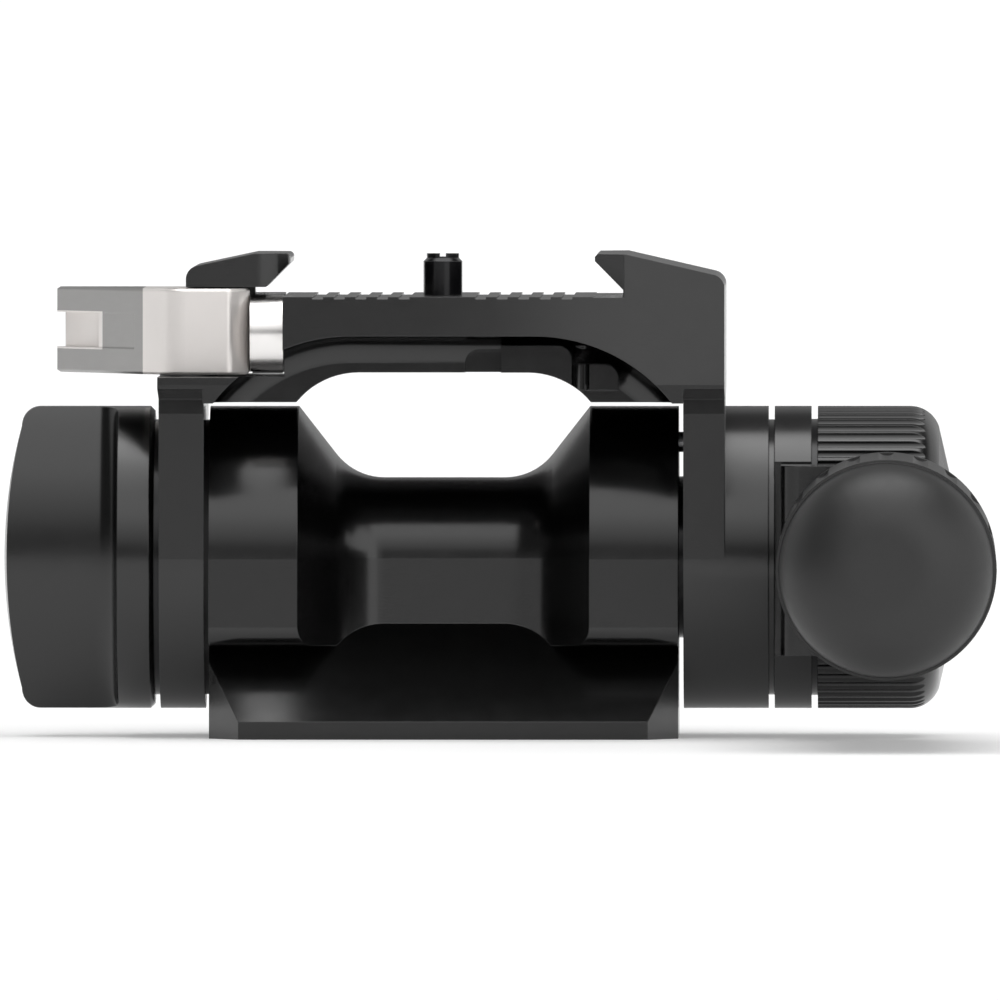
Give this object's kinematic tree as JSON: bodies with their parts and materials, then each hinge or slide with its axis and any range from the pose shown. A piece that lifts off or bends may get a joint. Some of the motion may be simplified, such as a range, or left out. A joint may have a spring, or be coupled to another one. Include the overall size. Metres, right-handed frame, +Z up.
{
  "type": "tilt head",
  "caption": "Single-axis tripod tilt head: dovetail foot, lockable tilting platform with a cam-lever plate clamp, and a clamped side handle with a ribbed grip.",
  "frame": {"origin": "centre of the foot's bottom face, at the mouth of its threaded hole", "axes": "+X runs along the tilt axis to the handle's side, -Y is the side that the handle points to, +Z is up through the clamp floor"},
  "size_m": [0.1069, 0.12, 0.0522],
  "materials": {
    "black_anodised": "satin black anodised",
    "silver_lever": "fine bead-blasted and clear anodised",
    "chrome": "polished",
    "steel": "turned",
    "black_steel": "black oxide, glossy",
    "aluminium": "bare tube",
    "brass": "turned",
    "bronze": "sintered",
    "nylon": "matte",
    "grip_rubber": "matte moulded"
  },
  "bodies": {
    "base": {"base": "black_anodised", "tilt_shaft": "steel", "shaft_set_screws": "steel", "friction_disc": "nylon", "thrust_washer": "steel", "stop_pin": "steel", "drag_plates_inner": "bronze"},
    "platform": {"platform": "black_anodised", "left_bushing": "bronze", "right_bushing": "bronze", "drag_plates_outer": "steel", "drag_cover": "black_anodised", "lever_screw": "steel", "lever_washer": "nylon", "pin_retainer": "black_steel", "pin_spring": "steel", "jaw_spring": "steel"},
    "moving_jaw": {"moving_jaw": "black_anodised", "cam_follower": "chrome", "follower_dowel": "steel", "jaw_guide_pins": "steel"},
    "cam_lever": {"cam_lever": "silver_lever"},
    "center_pin": {"center_pin": "black_steel"},
    "lock_washer": {"lock_washer": "steel"},
    "tilt_lock_knob": {"tilt_lock_knob": "black_anodised", "lock_knob_insert": "brass"},
    "handle": {"handle_ring": "black_anodised", "ring_screws": "steel", "handle_arm": "black_anodised", "handle_core": "aluminium", "handle_grip": "grip_rubber", "handle_cap": "grip_rubber"},
    "clamp_washer": {"clamp_washer": "steel"},
    "handle_knob": {"handle_knob": "black_anodised", "handle_knob_insert": "brass"}
  },
  "joints": [
    {"name": "tilt", "type": "hinge", "parent": "base", "child": "platform", "pos_m": [0, 0, 0.01935], "axis": [1, 0, 0], "range_deg": [-90, 75]},
    {"name": "jaw_slide", "type": "slide", "parent": "platform", "child": "moving_jaw", "axis": [-1, 0, 0], "range_m": [0, 0.0016]},
    {"name": "lever_turn", "type": "hinge", "parent": "platform", "child": "cam_lever", "pos_m": [-0.0274, -0.01419, 0.0438], "axis": [0, 0, 1], "range_deg": [0, 95]},
    {"name": "pin_press", "type": "slide", "parent": "platform", "child": "center_pin", "axis": [0, 0, -1], "range_m": [0, 0.0044], "stiffness_N_per_m": 150, "springref_m": -0.002, "deforming": ["pin_spring"]},
    {"name": "lock_washer_shift", "type": "slide", "parent": "base", "child": "lock_washer", "axis": [-1, 0, 0], "range_m": [0, 0.001]},
    {"name": "tilt_lock_turn", "type": "hinge", "parent": "lock_washer", "child": "tilt_lock_knob", "pos_m": [-0.035, 0, 0.01935], "axis": [-1, 0, 0], "range_deg": [0, 360]},
    {"name": "handle_swing", "type": "hinge", "parent": "platform", "child": "handle", "pos_m": [0.0376, 0, 0.01935], "axis": [1, 0, 0], "continuous": true},
    {"name": "clamp_washer_shift", "type": "slide", "parent": "platform", "child": "clamp_washer", "axis": [1, 0, 0], "range_m": [0, 0.001]},
    {"name": "handle_knob_turn", "type": "hinge", "parent": "clamp_washer", "child": "handle_knob", "pos_m": [0.047, 0, 0.01935], "axis": [1, 0, 0], "range_deg": [0, 360]}
  ],
  "couplings": [
    {"joint": "lever_turn", "follows": "jaw_slide", "rad_per_m": 1036.3},
    {"joint": "tilt_lock_turn", "follows": "lock_washer_shift", "rad_per_m": 6283.2},
    {"joint": "handle_knob_turn", "follows": "clamp_washer_shift", "rad_per_m": 6283.2}
  ]
}
